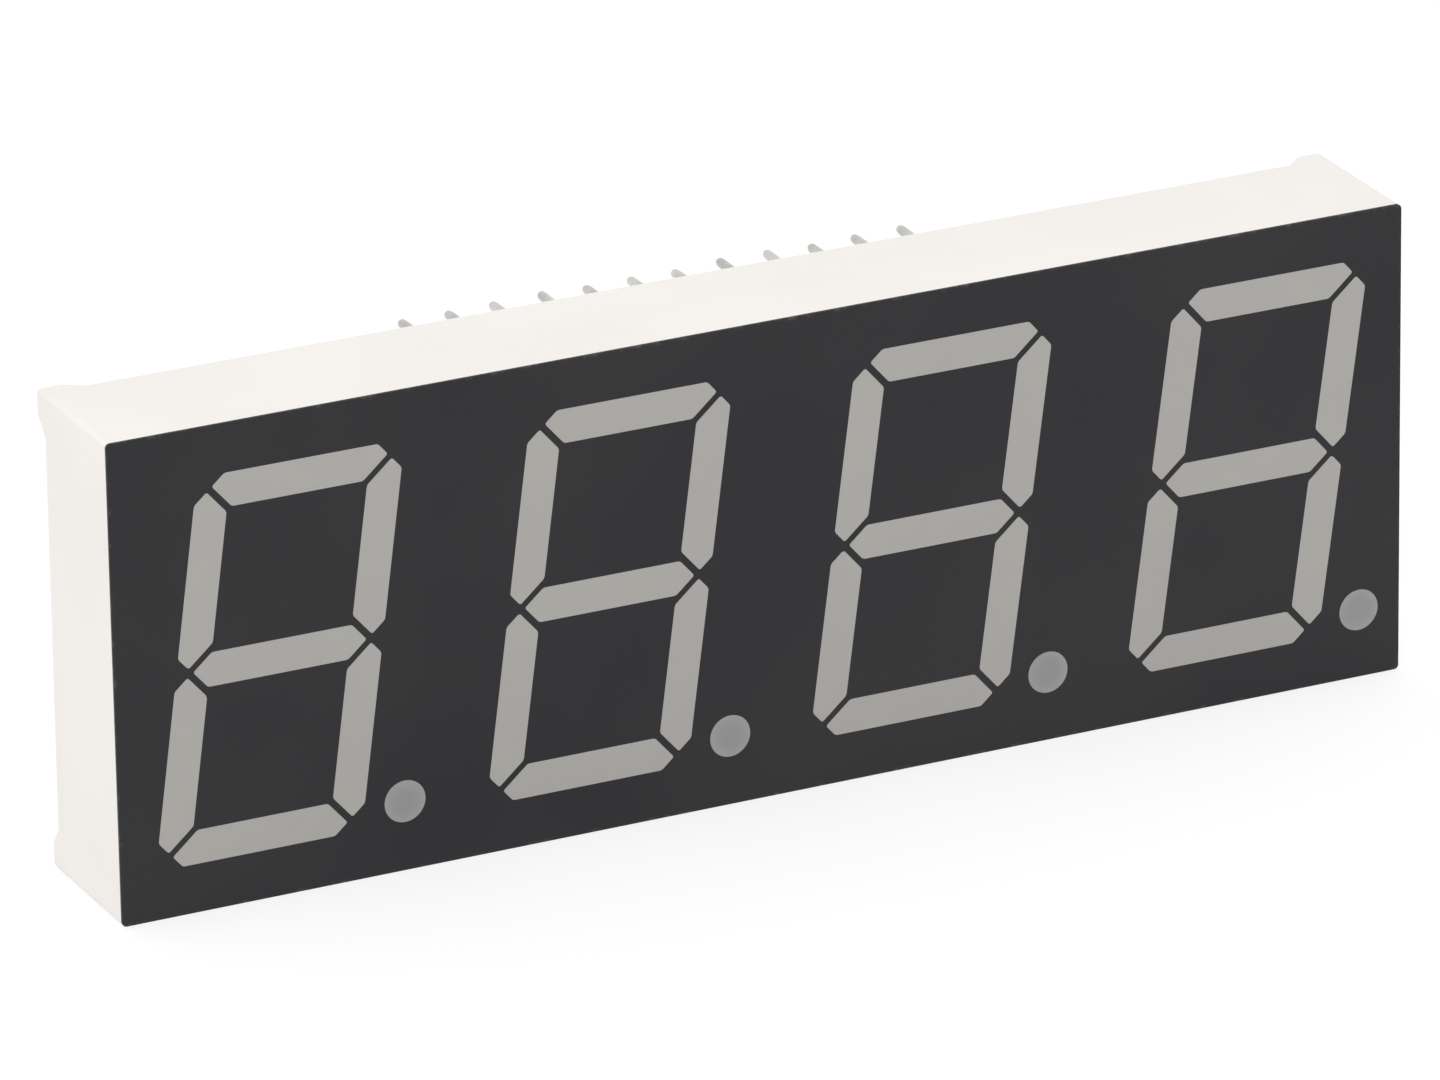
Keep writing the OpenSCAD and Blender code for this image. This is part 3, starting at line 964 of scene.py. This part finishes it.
class LEDDISPLAY_OT_stage(bpy.types.Operator):
    """Sets the pale floor, the soft light and the camera"""
    bl_idname = "leddisplay.stage"
    bl_label = "Stage"

    def execute(self, context):
        s = context.scene.leddisplay_stage
        bpy.ops.object.select_all(action="DESELECT")
        bpy.ops.mesh.primitive_plane_add(size=FLOOR_WIDTH, location=(0, 0, CAD_BOX[0].z - FLOOR_DROP))
        floor = bpy.context.object
        floor.name = "studio_floor"
        floor.data.materials.append(floor_finish())
        place(floor)
        white_sky(s.sky)

        centre = (CAD_BOX[0] + CAD_BOX[1]) / 2
        bpy.ops.object.light_add(type="AREA", location=centre - LAMP_WAY * LAMP_AWAY)
        lamp = bpy.context.object
        lamp.name = "soft_key"
        lamp.rotation_euler = LAMP_WAY.to_track_quat("-Z", "Y").to_euler()
        lamp.data.shape = "DISK"
        lamp.data.size = LAMP_WIDTH
        lamp.data.energy = s.key

        turn, rise = s.azimuth, s.elevation
        back = Vector((math.sin(turn) * math.cos(rise), -math.cos(turn) * math.cos(rise), math.sin(rise)))
        level = Vector((math.cos(turn), math.sin(turn), 0))
        upright = back.cross(level)
        up = upright * math.cos(s.roll) + level * math.sin(s.roll)
        right = level * math.cos(s.roll) - upright * math.sin(s.roll)
        bpy.ops.object.camera_add(location=Vector(s.aim) + back * s.distance)
        camera = bpy.context.object
        camera.name = "studio_camera"
        camera.rotation_euler = Matrix((right, up, back)).transposed().to_euler()
        camera.data.lens = s.lens
        camera.data.sensor_width = SENSOR_WIDTH
        camera.data.clip_start, camera.data.clip_end = NEAREST, FARTHEST
        context.scene.camera = camera
        context.scene.view_settings.view_transform = "Standard"
        return {"FINISHED"}


# --- Panel and registration ----------------------------------------------------------------

STEPS = [LEDDISPLAY_OT_housing, LEDDISPLAY_OT_face, LEDDISPLAY_OT_windows, LEDDISPLAY_OT_inside,
         LEDDISPLAY_OT_rear_resin, LEDDISPLAY_OT_pins, LEDDISPLAY_OT_stage]
SETTINGS = {"leddisplay_housing": HousingSettings, "leddisplay_face": FaceSettings,
            "leddisplay_windows": WindowSettings, "leddisplay_rear": RearSettings,
            "leddisplay_pins": PinSettings, "leddisplay_stage": StageSettings}


class LEDDISPLAY_PT_panel(bpy.types.Panel):
    """Lists the display's settings and the steps that build it"""
    bl_idname = "LEDDISPLAY_PT_panel"
    bl_label = "LED Display"
    bl_space_type = "VIEW_3D"
    bl_region_type = "UI"
    bl_category = "LED Display"

    def draw(self, context):
        for step in STEPS:
            self.layout.operator(step.bl_idname)
        for name, group in SETTINGS.items():
            box = self.layout.box()
            settings = getattr(context.scene, name)
            for key in group.__annotations__:
                box.prop(settings, key)


def register():
    for group in SETTINGS.values():
        bpy.utils.register_class(group)
    for name, group in SETTINGS.items():
        setattr(bpy.types.Scene, name, PointerProperty(type=group))
    for cls in (*STEPS, LEDDISPLAY_PT_panel):
        bpy.utils.register_class(cls)


def unregister():
    for cls in (LEDDISPLAY_PT_panel, *reversed(STEPS)):
        bpy.utils.unregister_class(cls)
    for name in SETTINGS:
        delattr(bpy.types.Scene, name)
    for group in reversed(list(SETTINGS.values())):
        bpy.utils.unregister_class(group)


def main():
    register()
    bpy.ops.leddisplay.housing()
    bpy.ops.leddisplay.face()
    bpy.ops.leddisplay.windows()
    bpy.ops.leddisplay.inside()
    bpy.ops.leddisplay.rear_resin()
    bpy.ops.leddisplay.pins()
    bpy.ops.leddisplay.stage()


if __name__ == "__main__":
    main()
